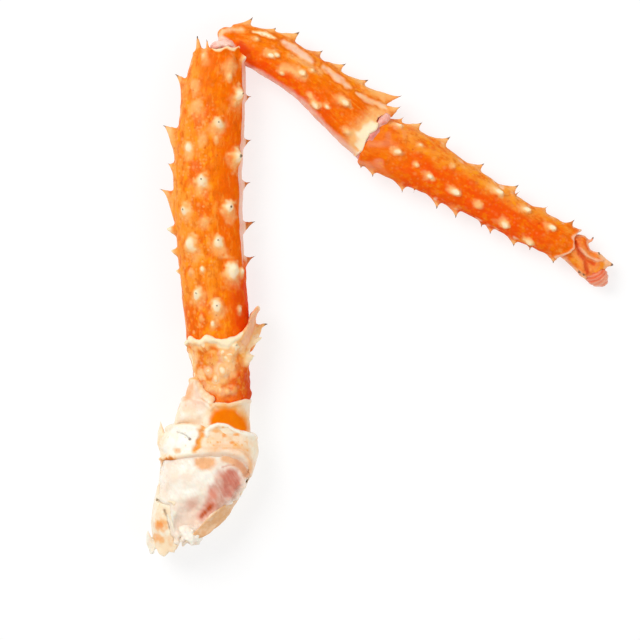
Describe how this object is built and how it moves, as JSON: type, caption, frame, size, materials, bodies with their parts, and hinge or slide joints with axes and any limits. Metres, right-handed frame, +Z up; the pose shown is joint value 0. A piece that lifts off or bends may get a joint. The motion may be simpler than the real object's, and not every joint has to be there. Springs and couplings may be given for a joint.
{
  "type": "king crab leg",
  "caption": "Cooked king crab leg, bent at the knee, with spiny orange shell and white meat showing at the broken shoulder end.",
  "frame": {"origin": "on the surface that the leg lies on, below the middle of its outline", "axes": "+Y from the broken shoulder end to the knee, +X from the knee to the toe, +Z up out of the shown side"},
  "size_m": [0.1566, 0.1792, 0.0233],
  "materials": {
    "orange_shell": "glossy",
    "pale_shell": "satin",
    "soft_skin": "wet",
    "meat": "moist"
  },
  "bodies": {
    "root": {"coxa_shell": "pale_shell", "shoulder_meat": "meat", "loose_meat": "meat", "basis": "pale_shell", "ischium": "orange_shell", "merus": "orange_shell", "knee_skin": "soft_skin", "carpus": "orange_shell", "wrist_skin": "soft_skin", "propodus": "orange_shell", "dactyl": "orange_shell", "toe_flesh": "meat"}
  },
  "joints": []
}
